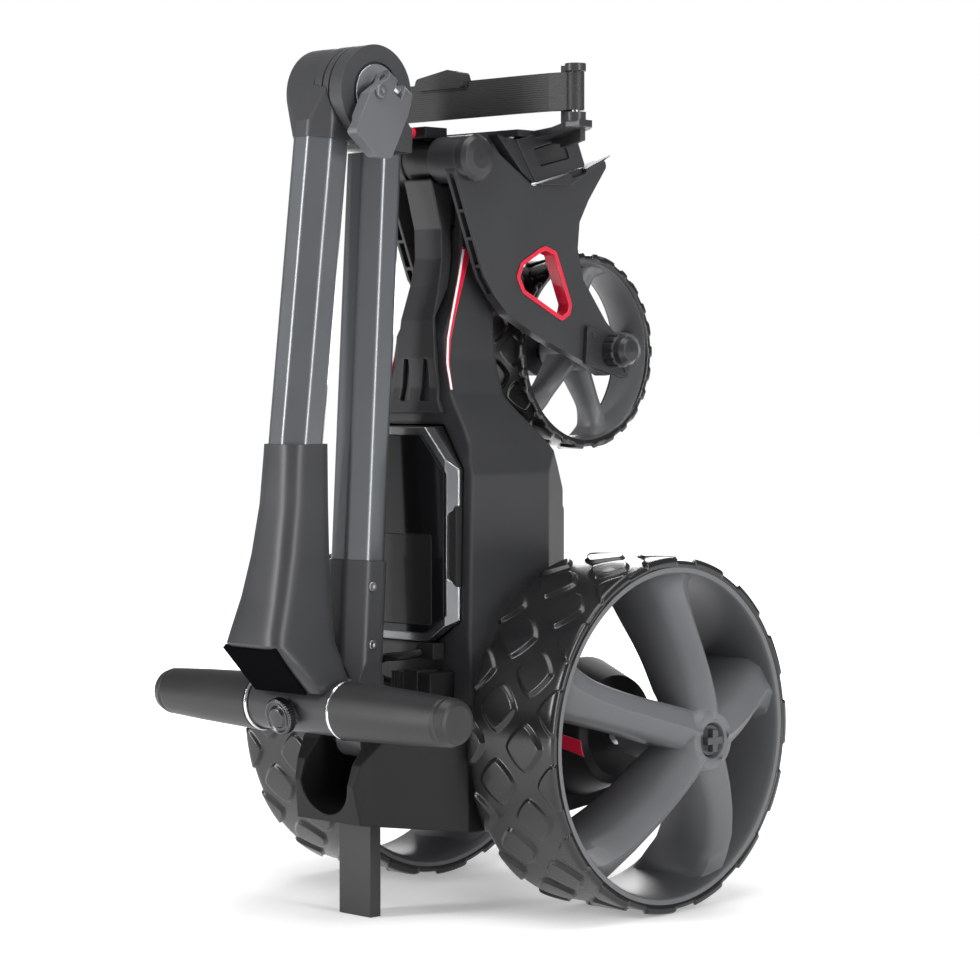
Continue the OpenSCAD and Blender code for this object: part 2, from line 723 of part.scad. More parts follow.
module fork_leg() {
  difference() {
    side_plate(31, 41) softened(3.5) polygon(fork_outline);
    side_plate(20, 50) softened(5) polygon(fork_hole);
    // Channel along the handle-side edge, crossed by ribs
    difference() {
      side_plate(33.5, 38.5) polygon([[-110, 536], [-72, 440], [-60, 452], [-90, 530], [-96, 536]]);
      for (z = [468, 488, 508]) translate([30, -120, z]) cube([14, 60, 2.4]);
    }
    rod_x(front_hub, 6.05, 20, 60);
  }
}

module fork_frame() {
  color([0.25, 0.26, 0.27]) placed() difference() {
    union() {
      both_sides() fork_leg();
      both_sides() rod_x(fork_pivot, 17, 14.2, 42);
      // Wall between the legs, above the front wheel
      side_plate(-32, 32) polygon([[-30, 522], [26, 505], [29, 510], [-28, 528]]);
    }
    rod_x(fork_pivot, 6.05, -60, 60);
    // Room for the neck's middle knuckle
    rod_x(fork_pivot, 18, -14, 14);
  }
}

module fork_hole_trims() {
  color([0.82, 0.1, 0.17]) placed() both_sides() difference() {
    side_plate(30.6, 41.8) offset(delta = -0.02) softened(5) polygon(fork_hole);
    side_plate(20, 50) offset(r = -3.2) softened(5) polygon(fork_hole);
  }
}

// Pin of the fork hinge, held in the fork's knuckles
module fork_pivot_pin() {
  color([0.7, 0.7, 0.72]) placed() rod_x(fork_pivot, 6, -42, 42);
}

module fork_end_caps() {
  color([0.1, 0.1, 0.11]) placed() both_sides() turned_x(fork_pivot)
    polygon([[0, 42.2], [17, 42.2], [17, 49], [14, 52], [8, 53.4], [0, 53.8]]);
}

module wheel_axle() {
  color([0.66, 0.66, 0.68]) placed() difference() {
    union() {
      rod_x(front_hub, 6, -40, 47.4);
      rod_x(front_hub, 9.5, -45, -41.2);
      // Seat plate of the tracking knob, with two screws
      side_plate(41.2, 45) offset(r = 3) polygon([[38, 424], [36, 400], [78, 390], [84, 410]]);
      for (p = [[42, 420], [78, 394]]) rod_x(p, 2.6, 44.6, 46.4);
    }
    rod_x(front_hub, 2, 30, 60);
  }
}

module tracking_knob() {
  color([0.06, 0.06, 0.06]) placed() difference() {
    turned_x(front_hub) polygon([[6.1, 45.3], [13, 45.3], [13, 54], [11.5, 55.2], [11, 60], [8, 63.5], [0, 64.6],
      [0, 48.2], [6.1, 48.2]]);
    for (i = [0:11]) translate([0, front_hub[0], front_hub[1]]) rotate([i * 30, 0, 0]) translate([44, 0, 13.6])
      rotate([0, 90, 0]) cylinder(r = 1.5, h = 11);
  }
}

module front_rim() {
  rim_r = front_r - 5;
  color([0.29, 0.3, 0.31]) placed() translate([0, front_hub[0], front_hub[1]]) rotate([0, 90, 0]) difference() {
    union() {
      rotate_extrude() polygon([[rim_r - 4, -16], [rim_r, -16], [rim_r, 16], [rim_r - 4, 16], [rim_r - 6, 6],
        [rim_r - 6, -6]]);
      cylinder(r = 15, h = 44, center = true);
      for (i = [0:spokes - 1]) rotate([0, 0, i * 360 / spokes]) translate([13.5, -9, -7]) cube([rim_r - 18.5, 18, 14]);
    }
    cylinder(r = 6.06, h = 80, center = true);
  }
}

module front_tyre() {
  color([0.06, 0.06, 0.06]) placed() turned_x(front_hub) polygon([
    [front_r - 5, -front_w / 2 + 1], [front_r - 2.5, -front_w / 2], [front_r - 0.8, -front_w / 2 + 3],
    [front_r, -front_w / 2 + 8], [front_r, front_w / 2 - 8], [front_r - 0.8, front_w / 2 - 3],
    [front_r - 2.5, front_w / 2], [front_r - 5, front_w / 2 - 1]]);
}

// ---------------------------------------------------------------- bag support

// Lower bag support: a box each side of the fork head with a curved arm out to the strap pin
module bag_cradle() {
  color([0.15, 0.15, 0.16]) placed() difference() {
    union() {
      both_sides() {
        // Box with the square recess
        side_plate(30, 43) offset(r = 2) offset(delta = -2) polygon([[-41, 563], [20, 578], [34, 547], [-20, 532.4]]);
        side_plate(31, 41) polygon([[-59, 566], [-41, 563], [-20, 532.4], [-33, 540]]);
        // Ledge under the box
        side_plate(41.2, 46) polygon([[-20, 531], [34, 546], [60, 557], [16, 532]]);
        // Arm to the strap pin
        translate([0, 0, 566]) linear_extrude(5) polygon([[40, -20], [40, 8], [70, -8], [118, -42], [133, -56],
          [134, -70], [122, -72], [104, -56], [72, -34], [50, -24]]);
        translate([0, 0, 558]) linear_extrude(9) polygon([[42, -2], [44, 4], [70, -12], [118, -47], [116, -50], [70, -17]]);
        rod_z_knuckle(strap_hx, 570, 576.6);
        rod_z_knuckle(strap_hx, 605.4, 611);
        // Upright behind the strap
        translate([strap_hx - 18, -62, 566]) cube([10, 5, 45]);
      }
      // Head between the boxes
      translate([-42, -38, 566]) cube([84, 40, 5]);
    }
    both_sides() side_plate(39, 60) offset(r = 1) polygon([[-21, 557], [10, 565], [16, 553], [-14, 546]]);
    both_sides() translate([strap_hx, -66, 560]) cylinder(r = 3.05, h = 55);
    both_sides() side_plate(41, 60) offset(r = 2.5, $fn = 24) polygon([[18, 540], [30, 543.5], [30, 544], [18, 540.5]]);
  }
}

// Knuckle that holds a strap pin
module rod_z_knuckle(x, z0, z1) {
  translate([x, -66, z0]) cylinder(r = 7.5, h = z1 - z0);
  translate([x - 18, -62, z0]) cube([18, 5, z1 - z0]);
}

module cradle_inserts() {
  color([0.08, 0.08, 0.09]) placed() both_sides() side_plate(39.2, 41.6) offset(r = 0.6)
    polygon([[-20.6, 556.4], [9.6, 564.4], [15.4, 553.2], [-13.6, 546.4]]);
}

module strap_pins() {
  color([0.2, 0.2, 0.2]) placed() both_sides() translate([strap_hx, -66, 566]) cylinder(r = 3, h = 44);
}

// Rubber strap between the two pins, with a pull tab in the middle
module bag_strap() {
  straight = 82;
  color([0.12, 0.12, 0.13]) placed() difference() {
    union() {
      translate([-straight, -75.6, 578]) cube([2 * straight, 4, 27]);
      both_sides() translate([0, 0, 578]) linear_extrude(27)
        polygon([[straight, -75.6], [108, -74.6], [122, -71.5], [130, -69], [129, -62], [120, -64], [106, -70.2], [straight, -71.6]]);
      both_sides() translate([strap_hx, -66, 578]) cylinder(r = 6.4, h = 27);
      front_plate(-80, -71) offset(r = 4) offset(delta = -4) polygon([[-26, 600], [-23, 609], [10, 614], [24, 611], [28, 600]]);
    }
    both_sides() translate([strap_hx, -66, 570]) cylinder(r = 3.2, h = 45);
  }
}

// ---------------------------------------------------------------- fold release

module fold_button_housing() {
  color([0.12, 0.12, 0.13]) placed() difference() {
    translate([-13.8, -106, 562.7]) cube([27.6, 22, 8]);
    rod_y(button_place, 3.1, -120, -90);
    rod_y(button_place, 4.1, -120, -103);
  }
}

module fold_button() {
  color([0.85, 0.08, 0.15]) placed() {
    rod_y(button_place, 4, -109.4, -105.5);
    rod_y(button_place, 3.05, -105.6, -96);
  }
}

chassis_shell();
rear_cover();
neck_spine();
neck_core();
red_lines();
axle_housing();
foot();
motor_left();
motor_right();
gearbox_left();
gearbox_right();
axle_bearings();
lead_socket();
fold_button_housing();
fork_pivot_pin();
handle_pivot_pin();
battery_case();
battery_frame();
battery_grips();
battery_label();
lead_gland();
battery_lead();
lead_plug();
rim_left();
rim_right();
tyre_left();
tyre_right();
drive_shaft_left();
drive_shaft_right();
hub_button_left();
hub_button_right();
lower_tube();
lower_bracket();
bracket_screws();
lower_knuckle();
fold_bolt();
cam_lever();
upper_tube();
upper_knuckle();
handle_housing();
bar_collar();
display_panel();
cross_bar();
grip_left();
grip_right();
grip_rings();
speed_dial();
dial_stem();
fork_frame();
fork_hole_trims();
fork_end_caps();
wheel_axle();
bag_cradle();
cradle_inserts();
strap_pins();
bag_strap();
front_rim();
front_tyre();
tracking_knob();
fold_button();
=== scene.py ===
# Folded electric golf trolley: its looks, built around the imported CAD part.
import bmesh, bpy, math
import numpy as np
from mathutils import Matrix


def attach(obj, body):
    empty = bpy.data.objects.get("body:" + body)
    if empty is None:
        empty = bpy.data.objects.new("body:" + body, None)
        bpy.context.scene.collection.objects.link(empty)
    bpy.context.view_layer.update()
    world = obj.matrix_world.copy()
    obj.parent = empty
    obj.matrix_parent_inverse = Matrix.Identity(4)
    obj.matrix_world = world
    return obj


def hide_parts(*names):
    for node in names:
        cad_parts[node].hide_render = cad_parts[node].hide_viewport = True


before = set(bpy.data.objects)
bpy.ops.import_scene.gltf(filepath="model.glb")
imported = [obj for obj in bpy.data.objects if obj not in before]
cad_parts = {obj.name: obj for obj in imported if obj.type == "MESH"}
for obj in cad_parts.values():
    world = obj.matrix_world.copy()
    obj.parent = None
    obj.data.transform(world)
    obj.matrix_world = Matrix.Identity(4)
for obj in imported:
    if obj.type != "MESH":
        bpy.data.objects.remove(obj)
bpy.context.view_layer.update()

# ---------------------------------------------------------------- camera, light and floor
# A long lens stands at the trolley's front right corner, a little above the middle. Two tall soft boxes give the long
# streaks on the tubes, a wide one overhead fills the rest, and the floor is a plain white sweep.
azimuth, elevation = math.radians(44.627), math.radians(2.216)
camera = bpy.data.objects.new("camera", bpy.data.cameras.new("camera"))
bpy.context.collection.objects.link(camera)
camera.location = (1.5691, -1.55115, 0.3912)
camera.rotation_euler = (math.pi / 2 - elevation, 0, azimuth)
camera.data.lens, camera.data.sensor_width = 108.7, 36
camera.data.clip_start, camera.data.clip_end = 0.05, 50
bpy.context.scene.camera = camera


def soft_box(name, place, aim, width, height, power):
    """Area light at place, turned so that its face looks at aim."""
    data = bpy.data.lights.new(name, "AREA")
    data.shape, data.size, data.size_y, data.energy = "RECTANGLE", width, height, power
    light = bpy.data.objects.new(name, data)
    bpy.context.collection.objects.link(light)
    place, aim = np.array(place, float), np.array(aim, float)
    out = (place - aim) / np.linalg.norm(place - aim)
    light.rotation_euler = (math.acos(out[2]), 0, math.atan2(out[1], out[0]) + math.pi / 2)
    light.location = place


middle = (0, 0, 0.3)
soft_box("key_box", (2.1, -0.05, 0.8), middle, 0.45, 1.9, 30)
soft_box("fill_box", (-0.9, -2.1, 0.8), middle, 0.5, 1.9, 40)
soft_box("top_box", (0.3, -0.2, 2.3), middle, 1.8, 1.8, 38)
soft_box("rim_box", (-1.3, 1.5, 1.1), middle, 0.7, 1.6, 16)
bpy.context.scene.view_settings.view_transform = "Standard"

world = bpy.data.worlds.new("studio")
bpy.context.scene.world = world
world.use_nodes = True
studio = world.node_tree
dim = studio.nodes["Background"]
dim.inputs["Color"].default_value, dim.inputs["Strength"].default_value = (1, 1, 1, 1), 0.24
backdrop, seen, choose = (studio.nodes.new("ShaderNode" + kind) for kind in ("Background", "LightPath", "MixShader"))
backdrop.inputs["Color"].default_value, backdrop.inputs["Strength"].default_value = (1, 1, 1, 1), 1.0
studio.links.new(seen.outputs["Is Camera Ray"], choose.inputs["Fac"])
studio.links.new(dim.outputs["Background"], choose.inputs[1])
studio.links.new(backdrop.outputs["Background"], choose.inputs[2])
studio.links.new(choose.outputs["Shader"], studio.nodes["World Output"].inputs["Surface"])

floor_mesh = bpy.data.meshes.new("floor")
floor_half, floor_z = 14, -0.0002
floor_mesh.from_pydata([(x * floor_half, y * floor_half, floor_z) for x, y in ((-1, -1), (1, -1), (1, 1), (-1, 1))],
                       [], [(0, 1, 2, 3)])
floor = bpy.data.objects.new("floor", floor_mesh)
bpy.context.collection.objects.link(floor)
floor_paint = bpy.data.materials.new("floor_white")
floor_paint.use_nodes = True
white = floor_paint.node_tree.nodes["Principled BSDF"].inputs
white["Base Color"].default_value, white["Roughness"].default_value = (0.9, 0.9, 0.9, 1), 0.9
white["Emission Color"].default_value = (1, 1, 1, 1)
sweep = floor_paint.node_tree
spot, far, rise = (sweep.nodes.new("ShaderNode" + kind) for kind in ("TexCoord", "VectorMath", "MapRange"))
far.operation = "LENGTH"
rise.inputs["From Min"].default_value, rise.inputs["From Max"].default_value = 0.35, 1.8
rise.inputs["To Min"].default_value, rise.inputs["To Max"].default_value = 0.30, 0.86
sweep.links.new(spot.outputs["Object"], far.inputs[0])
sweep.links.new(far.outputs["Value"], rise.inputs["Value"])
sweep.links.new(rise.outputs["Result"], white["Emission Strength"])
floor_mesh.materials.append(floor_paint)

# ---------------------------------------------------------------- body shell
# A tall moulded shell carries everything: charcoal glass-filled nylon with a fine spark-eroded grain. Its corners are
# painted a little paler, partly as rub wear from hands and bags and partly as a painted highlight. The strip down its
# front and the core behind it are blacker plastic.
charcoal = (0.026, 0.0268, 0.0285)
core_black = (0.012, 0.0123, 0.013)
spine_black = (0.022, 0.0227, 0.024)


def group_with(name, inputs, outputs):
    """Empty node group with float inputs {name: value} and float outputs, and its input and output nodes."""
    group = bpy.data.node_groups.new(name, "ShaderNodeTree")
    for key, value in inputs.items():
        socket = group.interface.new_socket(key, in_out="INPUT", socket_type="NodeSocketFloat")
        socket.default_value = value
    for key in outputs:
        group.interface.new_socket(key, in_out="OUTPUT", socket_type="NodeSocketFloat")
    return group, group.nodes.new("NodeGroupInput"), group.nodes.new("NodeGroupOutput")


def fine_grain_group():
    """Grain Height is fine noise at Scale; Tone is slow noise that varies a colour between 0 and 1."""
    group, given, result = group_with("fine_grain", {"Scale": 900.0, "Drift": 14.0}, ["Height", "Tone"])
    place = group.nodes.new("ShaderNodeTexCoord")
    fine = group.nodes.new("ShaderNodeTexNoise")
    fine.inputs["Detail"].default_value = 2
    slow = group.nodes.new("ShaderNodeTexNoise")
    slow.inputs["Detail"].default_value = 4
    for noise, key in ((fine, "Scale"), (slow, "Drift")):
        group.links.new(place.outputs["Object"], noise.inputs["Vector"])
        group.links.new(given.outputs[key], noise.inputs["Scale"])
    group.links.new(fine.outputs["Fac"], result.inputs["Height"])
    group.links.new(slow.outputs["Fac"], result.inputs["Tone"])
    return group


def edge_wear_group():
    """The output mask is 1 where the rounded normal leaves the true one, broken up by noise, and 0 on flat faces: the
    edges that get painted paler, partly as rub wear and partly as a painted highlight.
    """
    group, given, result = group_with("edge_wear", {"Radius": 0.0012, "Amount": 1.0}, ["Worn"])
    rounded, true = group.nodes.new("ShaderNodeBevel"), group.nodes.new("ShaderNodeNewGeometry")
    rounded.samples = 4
    same = group.nodes.new("ShaderNodeVectorMath")
    same.operation = "DOT_PRODUCT"
    turned = group.nodes.new("ShaderNodeMapRange")
    turned.inputs["From Min"].default_value, turned.inputs["From Max"].default_value = 0.995, 0.8
    place, patch = group.nodes.new("ShaderNodeTexCoord"), group.nodes.new("ShaderNodeTexNoise")
    patch.inputs["Scale"].default_value = 70
    broken, scaled = group.nodes.new("ShaderNodeMath"), group.nodes.new("ShaderNodeMath")
    broken.operation = scaled.operation = "MULTIPLY"
    scaled.use_clamp = True
    group.links.new(given.outputs["Radius"], rounded.inputs["Radius"])
    group.links.new(rounded.outputs["Normal"], same.inputs[0])
    group.links.new(true.outputs["Normal"], same.inputs[1])
    group.links.new(same.outputs["Value"], turned.inputs["Value"])
    group.links.new(place.outputs["Object"], patch.inputs["Vector"])
    group.links.new(turned.outputs["Result"], broken.inputs[0])
    group.links.new(patch.outputs["Fac"], broken.inputs[1])
    group.links.new(broken.outputs["Value"], scaled.inputs[0])
    group.links.new(given.outputs["Amount"], scaled.inputs[1])
    group.links.new(scaled.outputs["Value"], result.inputs["Worn"])
    group.interface.new_socket("Rounded", in_out="OUTPUT", socket_type="NodeSocketVector")
    group.links.new(rounded.outputs["Normal"], result.inputs["Rounded"])
    return group


fine_grain, edge_wear = fine_grain_group(), edge_wear_group()


def finish_of(name, colour, rough, edge_colour=None, metallic=0.0, coat=0.0, grain=900.0, depth=0.12, spread=0.22,
              wear=0.5, specular=0.4, radius=0.0009):
    """Principled finish: colour drifts by spread with the slow tone, goes towards the edge colour on edges, partly rub
    wear and partly a painted edge highlight, and the grain moves roughness and bumps the normal by depth. Edges look
    rounded by radius."""
    # By default the edges are painted twice as pale: partly rub wear, partly a painted highlight along the edges.
    edge_colour = edge_colour or tuple(min(1, c * 2.0 + 0.012) for c in colour)
    material = bpy.data.materials.new(name)
    material.use_nodes = True
    tree = material.node_tree
    shader = tree.nodes["Principled BSDF"]
    shader.inputs["Metallic"].default_value = metallic
    shader.inputs["Coat Weight"].default_value = coat
    shader.inputs["Coat Roughness"].default_value = 0.08
    shader.inputs["Specular IOR Level"].default_value = specular
    grit, edges = tree.nodes.new("ShaderNodeGroup"), tree.nodes.new("ShaderNodeGroup")
    grit.node_tree, edges.node_tree = fine_grain, edge_wear
    grit.inputs["Scale"].default_value = grain
    edges.inputs["Amount"].default_value, edges.inputs["Radius"].default_value = wear, radius
    drift, edge_mix = tree.nodes.new("ShaderNodeMix"), tree.nodes.new("ShaderNodeMix")
    drift.data_type = edge_mix.data_type = "RGBA"
    drift.inputs["A"].default_value = (*[c * (1 - spread) for c in colour], 1)
    drift.inputs["B"].default_value = (*[min(1, c * (1 + spread)) for c in colour], 1)
    edge_mix.inputs["B"].default_value = (*edge_colour, 1)
    tree.links.new(grit.outputs["Tone"], drift.inputs["Factor"])
    tree.links.new(drift.outputs["Result"], edge_mix.inputs["A"])
    # Edges blend towards the edge colour: partly wear, partly a painted highlight.
    tree.links.new(edges.outputs["Worn"], edge_mix.inputs["Factor"])
    tree.links.new(edge_mix.outputs["Result"], shader.inputs["Base Color"])
    gloss = tree.nodes.new("ShaderNodeMapRange")
    gloss.inputs["To Min"].default_value, gloss.inputs["To Max"].default_value = rough * 0.85, rough * 1.15
    tree.links.new(grit.outputs["Tone"], gloss.inputs["Value"])
    tree.links.new(gloss.outputs["Result"], shader.inputs["Roughness"])
    bump = tree.nodes.new("ShaderNodeBump")
    bump.inputs["Strength"].default_value, bump.inputs["Distance"].default_value = depth, 0.0003
    tree.links.new(grit.outputs["Height"], bump.inputs["Height"])
    tree.links.new(edges.outputs["Rounded"], bump.inputs["Normal"])
    tree.links.new(bump.outputs["Normal"], shader.inputs["Normal"])
    return material


def dress(material, *nodes):
    """Gives each CAD node that material in every slot."""
    for node in nodes:
        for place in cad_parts[node].material_slots:
            place.material = material


shell_finish = finish_of("charcoal_nylon", charcoal, 0.4, radius=0.0045, wear=0.3)
core_finish = finish_of("core_plastic", core_black, 0.4)
spine_finish = finish_of("spine_plastic", spine_black, 0.3, radius=0.002)
dress(shell_finish, "chassis_shell", "rear_cover")
dress(core_finish, "neck_core", "handle_pivot_pin")
dress(spine_finish, "neck_spine")

# Two lines along the neck and the axle housing: a red gloss foil with a thin white edge, laid in a shallow groove.
line_red = (0.62, 0.012, 0.045)
line_white = (0.82, 0.82, 0.82)
line_finish = finish_of("red_line", line_red, 0.25, edge_colour=line_white, coat=0.6, grain=500, depth=0.03, spread=0.08,
                        wear=0.4)
dress(line_finish, "red_lines")

# The edge lines below are in mm from the rear axle, as [y, z] and [z, x]. These take them to the trolley's own frame.
axle_forward_mm, lift_mm = 63.45, 2
neck_edge = np.array([[-75, 484], [-81, 462], [-88.5, 440], [-96.5, 416], [-99.4, 396], [-99.6, 378]])
neck_side = np.array([[538, 19.4], [470, 22.2], [430, 25.2], [400, 28.2], [376, 34.2], [360, 45]])


def skin(name, points, loops, material, smooth=True):
    """Mesh object from an (n, 3) array of points and an (m, 4) array of corners."""
    mesh = bpy.data.meshes.new(name)
    mesh.vertices.add(len(points))
    mesh.vertices.foreach_set("co", np.asarray(points, np.float32).ravel())
    loops = np.asarray(loops, np.int32)
    mesh.loops.add(loops.size)
    mesh.loops.foreach_set("vertex_index", loops.ravel())
    mesh.polygons.add(len(loops))
    mesh.polygons.foreach_set("loop_start", np.arange(0, loops.size, loops.shape[1], dtype=np.int32))
    mesh.update(calc_edges=True)
    mesh.validate()
    mesh.polygons.foreach_set("use_smooth", np.full(len(mesh.polygons), smooth))
    mesh.materials.append(material)
    piece = bpy.data.objects.new(name, mesh)
    bpy.context.collection.objects.link(piece)
    return piece


def quads(rows, columns, close_rows, close_columns):
    """Corners of the quads of a grid of points stored row after row; a closed way joins its last line to its first."""
    i = np.arange(rows if close_rows else rows - 1)[:, None]
    j = np.arange(columns if close_columns else columns - 1)[None, :]
    a, b = i * columns + j, i * columns + (j + 1) % columns
    c, d = ((i + 1) % rows) * columns + (j + 1) % columns, ((i + 1) % rows) * columns + j
    return np.stack([a, b, c, d], -1).reshape(-1, 4)


def point_out(piece):
    """Turns every closed shell of the piece to face outwards."""
    work = bmesh.new()
    work.from_mesh(piece.data)
    bmesh.ops.recalc_face_normals(work, faces=work.faces)
    work.to_mesh(piece.data)
    work.free()


white_finish = finish_of("white_line", line_white, 0.3, edge_colour=(0.9, 0.9, 0.9), coat=0.4, grain=500, depth=0.03,
                         spread=0.06, wear=0.3)
heights = np.linspace(482, 379, 48)
edge_y = np.interp(-heights, -neck_edge[:, 1], neck_edge[:, 0])
side_x = np.interp(-heights, -neck_side[:, 0], neck_side[:, 1])
for side, mirror in (("right", 1), ("left", -1)):
    corners = [(0.0, 0.1), (2.0, 0.1), (2.0, -0.6), (0.0, -0.6)]
    ring = np.stack([np.stack([mirror * (side_x + out), edge_y + step + axle_forward_mm, heights + lift_mm], -1)
                     for step, out in corners], 1) / 1000
    count = len(heights)
    last = 4 * count - 1
    loops = np.concatenate([quads(count, 4, False, True), [[0, 1, 2, 3]], [[last, last - 1, last - 2, last - 3]]])
    edge = skin("neck_white_edge_" + side, ring.reshape(-1, 3), loops, white_finish, smooth=False)
    point_out(edge)
    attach(edge, "chassis")

# ---------------------------------------------------------------- foot and axle housing
# The bar that the folded trolley stands on is satin black, its edges painted paler, partly as wear and partly as a
# painted highlight. The housing behind it holds the axle, and a motor and gearbox sit in each end, all in the same
# dark textured plastic.
housing_black = (0.0085, 0.0087, 0.0092)
housing_finish = finish_of("housing_plastic", housing_black, 0.42, specular=0.22, radius=0.0025)
motor_finish = finish_of("motor_can", (0.09, 0.09, 0.095), 0.35, metallic=0.9, grain=300)
bearing_steel = finish_of("bearing_steel", (0.55, 0.56, 0.58), 0.28, edge_colour=(0.8, 0.8, 0.8), metallic=1.0, spread=0.1)
dress(housing_finish, "axle_housing", "gearbox_left", "gearbox_right", "lead_socket", "fold_button_housing")
dress(finish_of("foot_plastic", (0.028, 0.0285, 0.029), 0.4, radius=0.0015), "foot")
dress(motor_finish, "motor_left", "motor_right")
dress(bearing_steel, "axle_bearings", "drive_shaft_left", "drive_shaft_right", "fold_bolt",
      "fork_pivot_pin", "dial_stem", "strap_pins", "bracket_screws")

# ---------------------------------------------------------------- battery
# A gloss black case drops into the body. A bevelled bright frame runs round its face, a soft hexagonal grip is let
# into each side, and a short rubber lead comes out of a ribbed gland and plugs into the axle housing.
case_gloss = finish_of("battery_gloss", (0.004, 0.004, 0.0045), 0.16, coat=0.3, grain=250, depth=0.02, spread=0.1,
                       wear=0.3, specular=0.25)
# The frame's bevel edges are painted near white at full strength: a painted highlight along the bevel.
frame_silver = finish_of("battery_silver", (0.2, 0.205, 0.215), 0.24, edge_colour=(0.8, 0.81, 0.83), metallic=0.9, coat=0.4,
                         spread=0.35, wear=1.4, radius=0.0016)
grip_finish = finish_of("soft_grip", (0.014, 0.014, 0.015), 0.5, grain=600, depth=0.2)
label_finish = finish_of("label_film", (0.012, 0.012, 0.013), 0.3, coat=0.2, grain=300, depth=0.03, specular=0.25)
lead_finish = finish_of("lead_jacket", (0.013, 0.013, 0.014), 0.36, grain=700, depth=0.15)
dress(case_gloss, "battery_case")
dress(frame_silver, "battery_frame")
dress(grip_finish, "battery_grips")
dress(label_finish, "battery_label")
dress(lead_finish, "lead_gland", "battery_lead", "lead_plug")

# ---------------------------------------------------------------- rear tyres
# Solid black rubber tread moulded over the rim: staggered rows of rounded diamond blocks, about two millimetres high
# with a rolled edge, and half blocks at both shoulders that notch the outline.
axle_y, axle_height = 0.06345, 0.130
tyre_radius, tread_in, tread_out = 0.130, 0.0795, 0.1630
row_pitch, blocks_round = 0.0280, 15


def turned_about_x(profile, angles, y, z):
    """Points of a profile [x, radius] at each angle: x, y plus radius times cosine, z plus radius times sine."""
    profile = np.asarray(profile)
    x = np.broadcast_to(profile[:, 0], (len(angles), len(profile)))
    across = profile[:, 1] * np.cos(angles)[:, None]
    up = profile[:, 1] * np.sin(angles)[:, None]
    return np.stack([x, y + across, z + up], -1)


def tread(name, radius, inner, outer, pitch, count, y, z, depth, half_across, half_round, material, flip=False,
          lines=62, turns=960):
    """Tyre skin. A block is where |across| / half_across and |round| / half_round, each to the power 1.3, add up to
    less than 1; its height rises over a narrow edge. Every second row is half a block further round. The profile
    closes under the tread, so the skin is a ring."""
    angles = np.linspace(0, 2 * math.pi, turns, endpoint=False)
    x = np.linspace(inner, outer, lines)
    centre = (inner + outer) / 2
    round_pitch = 2 * math.pi * radius / count
    height = np.zeros((turns, lines))
    for row in range(-3, 4):
        across = np.abs(x - (centre + (row + 0.5) * pitch))[None, :] / half_across
        phase = 0.5 if row % 2 == 0 else 0.0
        along = (angles[:, None] * radius / round_pitch + phase) % 1.0
        along = np.minimum(along, 1 - along) * round_pitch / half_round
        inside = 1 - (across ** 1.3 + along ** 1.3) ** (1 / 1.3)
        height = np.maximum(height, np.clip(inside / 0.11, 0, 1))
    height = height * height * (3 - 2 * height)
    shoulder = np.clip(np.minimum(x - inner, outer - x) / 0.006, 0, 1)
    drop = 0.0016 * (1 - np.sqrt(1 - (1 - shoulder) ** 2))
    crest = radius - depth * (1 - height) - drop[None, :]
    if flip:
        x = -x
    ring = np.stack([np.broadcast_to(x, crest.shape), y + crest * np.cos(angles)[:, None],
                     z + crest * np.sin(angles)[:, None]], -1)
    under = turned_about_x([[x[-1], radius - 0.0075], [x[0], radius - 0.0075]], angles, y, z)
    points = np.concatenate([ring, under], 1)
    loops = quads(turns, lines + 2, True, True)
    return skin(name, points.reshape(-1, 3), loops if flip else loops[:, ::-1], material)


tyre_rubber = finish_of("tread_rubber", (0.0085, 0.0085, 0.009), 0.27, edge_colour=(0.03, 0.03, 0.03), grain=420, depth=0.10,
                        spread=0.2, coat=0.25, wear=0.5)
for side, flip in (("right", False), ("left", True)):
    tyre = tread("tread_" + side, tyre_radius, tread_in, tread_out, row_pitch, blocks_round, axle_y, axle_height,
                 0.0024, 0.0172, 0.0178, tyre_rubber, flip)
    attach(tyre, "wheel_" + side)
    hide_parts("tyre_" + side)

# ---------------------------------------------------------------- rear rims
# One nylon moulding each: a barrel with a rolled lip, and five deep blades that climb from the barrel's middle to a
# hub with a round recess, where the release button sits.
rim_grey = (0.115, 0.118, 0.124)
spokes = 5


def turned_ring(name, profile, y, z, material, turns=240):
    """Closed ring: a closed profile [x, radius] turned about the X axis line at y, z. The profile runs anticlockwise
    with x to the right and radius up, so faces point out."""
    angles = np.linspace(0, 2 * math.pi, turns, endpoint=False)
    points = turned_about_x(profile, angles, y, z)
    return skin(name, points.reshape(-1, 3), quads(turns, len(profile), True, True), material)


def blade(start, radii, half_widths, backs, fronts, ridge, sweep, y, z, sections=28):
    """One spoke: at each radius a six-cornered section, half_width to each side, from back to front along X with its
    front face raised by ridge in the middle. Its middle line turns by sweep times sin(pi t) from the start angle."""
    t = np.linspace(0, 1, sections)
    radius = np.interp(t, np.linspace(0, 1, len(radii)), radii)
    key = np.linspace(0, 1, len(radii))
    wide, back, front = (np.interp(t, key, v) for v in (half_widths, backs, fronts))
    smooth = np.array([0.25, 0.5, 0.25])
    for _ in range(3):
        for line in (wide, back, front):
            line[1:-1] = np.convolve(line, smooth, "valid")
    corner = np.array([[-1, 0.0], [-0.82, -0.12], [0.82, -0.12], [1, 0.0], [1, 0.8], [0.72, 0.97], [0, 1.0],
                       [-0.72, 0.97], [-1, 0.8]])
    across = corner[None, :, 0] * wide[:, None]
    x = back[:, None] + corner[None, :, 1] * (front - back)[:, None]
    x[:, 6] += ridge
    angle = start + sweep * np.sin(math.pi * t)
    ry = radius[:, None] * np.cos(angle)[:, None] - across * np.sin(angle)[:, None]
    rz = radius[:, None] * np.sin(angle)[:, None] + across * np.cos(angle)[:, None]
    return np.stack([x, y + ry, z + rz], -1)


def join(pieces, name):
    """Joins finished mesh objects into one object called name."""
    bpy.ops.object.select_all(action="DESELECT")
    for piece in pieces:
        piece.select_set(True)
    bpy.context.view_layer.objects.active = pieces[0]
    bpy.ops.object.join()
    pieces[0].name = pieces[0].data.name = name
    return pieces[0]


